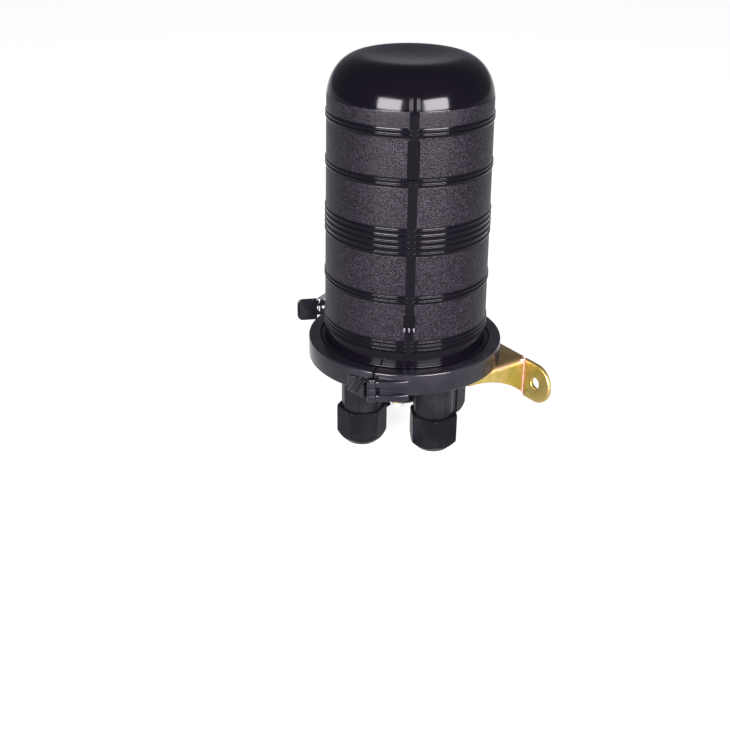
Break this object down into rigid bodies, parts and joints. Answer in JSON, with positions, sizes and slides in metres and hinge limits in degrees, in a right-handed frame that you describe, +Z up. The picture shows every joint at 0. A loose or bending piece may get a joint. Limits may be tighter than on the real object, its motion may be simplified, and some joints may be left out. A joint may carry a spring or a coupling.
{
  "type": "joint closure box",
  "caption": "Black dome closure for spliced optical cables, held by a hinged hoop with a lever latch, with cable glands below, splice trays inside and a zinc wall bracket.",
  "frame": {"origin": "midway between the bracket's two wall bolt holes, in the bracket's wall face", "axes": "+X out of the wall face towards the wall, +Z up along the dome's axis, +Y along the line of the two bolt holes"},
  "size_m": [0.15, 0.1906, 0.2982],
  "materials": {
    "dome": "glossy shoulder and foot, fine grain between the rings",
    "body": "satin moulded",
    "hoop": "satin moulded",
    "rubber": "matte",
    "steel": "bright turned",
    "zinc": "yellow zinc plate with a faint rainbow sheen",
    "tray": "satin moulded",
    "holder": "satin moulded",
    "clear": "clear smooth plastic"
  },
  "bodies": {
    "closure": {"dome": "dome", "dome_wall_front": "dome", "dome_wall_rear": "dome", "dome_flange": "dome", "base": "body", "base_rim": "body", "base_boss": "body", "port_tube_1": "body", "port_tube_2": "body", "port_tube_3": "body", "port_tube_4": "body", "o_ring": "rubber", "clamp_front": "hoop", "hinge_pin_front": "steel", "hinge_pin_rear": "steel", "gland_seal_1": "rubber", "gland_seal_2": "rubber", "gland_seal_3": "rubber", "gland_seal_4": "rubber", "bracket": "zinc", "bracket_screws": "steel", "earth_bolt": "steel", "earth_washer": "steel", "earth_nut": "steel", "tray_frame": "tray", "frame_screws": "steel", "slack_basket": "tray", "strength_clamps": "steel", "strength_screws": "steel"},
    "hoop_left": {"clamp_left": "hoop", "lever_pin": "steel"},
    "hoop_rear": {"clamp_rear": "hoop", "latch_lug": "hoop"},
    "lever": {"latch_lever": "hoop", "link_pin": "steel"},
    "link": {"latch_link": "steel"},
    "slip_1": {"slip_ring_1": "tray"},
    "slip_2": {"slip_ring_2": "tray"},
    "slip_3": {"slip_ring_3": "tray"},
    "slip_4": {"slip_ring_4": "tray"},
    "nut_1": {"gland_nut_1": "body"},
    "nut_2": {"gland_nut_2": "body"},
    "nut_3": {"gland_nut_3": "body"},
    "nut_4": {"gland_nut_4": "body"},
    "tray_1": {"splice_tray_1": "tray", "splice_holder_1": "holder", "tray_pin_1": "steel"},
    "tray_2": {"splice_tray_2": "tray", "splice_holder_2": "holder", "tray_pin_2": "steel"},
    "tray_3": {"splice_tray_3": "tray", "splice_holder_3": "holder", "tray_pin_3": "steel", "tray_cover": "clear"}
  },
  "joints": [
    {"name": "hoop_left_swing", "type": "hinge", "parent": "closure", "child": "hoop_left", "pos_m": [-0.13915, -0.04695, 0.0255], "axis": [0, 0, 1], "range_deg": [0, 110]},
    {"name": "hoop_rear_swing", "type": "hinge", "parent": "closure", "child": "hoop_rear", "pos_m": [-0.00615, 0.03975, 0.0255], "axis": [0, 0, -1], "range_deg": [0, 65]},
    {"name": "lever_swing", "type": "hinge", "parent": "hoop_left", "child": "lever", "pos_m": [-0.09044, 0.08114, 0.029], "axis": [0, 0, -1], "range_deg": [-32.7, 25]},
    {"name": "link_swing", "type": "hinge", "parent": "lever", "child": "link", "pos_m": [-0.09741, 0.08825, 0.029], "axis": [0, 0, -1], "range_deg": [-55.1, 72.1]},
    {"name": "nut_1_travel", "type": "slide", "parent": "closure", "child": "slip_1", "axis": [0, 0, -1], "range_m": [0, 0.0076]},
    {"name": "nut_2_travel", "type": "slide", "parent": "closure", "child": "slip_2", "axis": [0, 0, -1], "range_m": [0, 0.0076]},
    {"name": "nut_3_travel", "type": "slide", "parent": "closure", "child": "slip_3", "axis": [0, 0, -1], "range_m": [0, 0.0076]},
    {"name": "nut_4_travel", "type": "slide", "parent": "closure", "child": "slip_4", "axis": [0, 0, -1], "range_m": [0, 0.0076]},
    {"name": "nut_1_turn", "type": "hinge", "parent": "slip_1", "child": "nut_1", "pos_m": [-0.0349, 0, -0.0325], "axis": [0, 0, 1], "range_deg": [0, 1800]},
    {"name": "nut_2_turn", "type": "hinge", "parent": "slip_2", "child": "nut_2", "pos_m": [-0.075, 0.0401, -0.0325], "axis": [0, 0, 1], "range_deg": [0, 1800]},
    {"name": "nut_3_turn", "type": "hinge", "parent": "slip_3", "child": "nut_3", "pos_m": [-0.1151, 0, -0.0325], "axis": [0, 0, 1], "range_deg": [0, 1800]},
    {"name": "nut_4_turn", "type": "hinge", "parent": "slip_4", "child": "nut_4", "pos_m": [-0.075, -0.0401, -0.0325], "axis": [0, 0, 1], "range_deg": [0, 1800]},
    {"name": "tray_3_lean", "type": "hinge", "parent": "closure", "child": "tray_3", "pos_m": [-0.075, -0.0215, 0.0375], "axis": [1, 0, 0], "range_deg": [0, 6]},
    {"name": "tray_2_lean", "type": "hinge", "parent": "closure", "child": "tray_2", "pos_m": [-0.075, -0.0125, 0.0375], "axis": [1, 0, 0], "range_deg": [0, 4.1]},
    {"name": "tray_1_lean", "type": "hinge", "parent": "closure", "child": "tray_1", "pos_m": [-0.075, -0.0035, 0.0375], "axis": [1, 0, 0], "range_deg": [0, 2.1]}
  ],
  "couplings": [
    {"joint": "link_swing", "follows": "lever_swing", "ratio": -2.2},
    {"joint": "nut_1_travel", "follows": "nut_1_turn", "m_per_rad": 0.00023873},
    {"joint": "nut_2_travel", "follows": "nut_2_turn", "m_per_rad": 0.00023873},
    {"joint": "nut_3_travel", "follows": "nut_3_turn", "m_per_rad": 0.00023873},
    {"joint": "nut_4_travel", "follows": "nut_4_turn", "m_per_rad": 0.00023873},
    {"joint": "tray_2_lean", "follows": "tray_3_lean", "ratio": 0.67},
    {"joint": "tray_1_lean", "follows": "tray_3_lean", "ratio": 0.34}
  ]
}
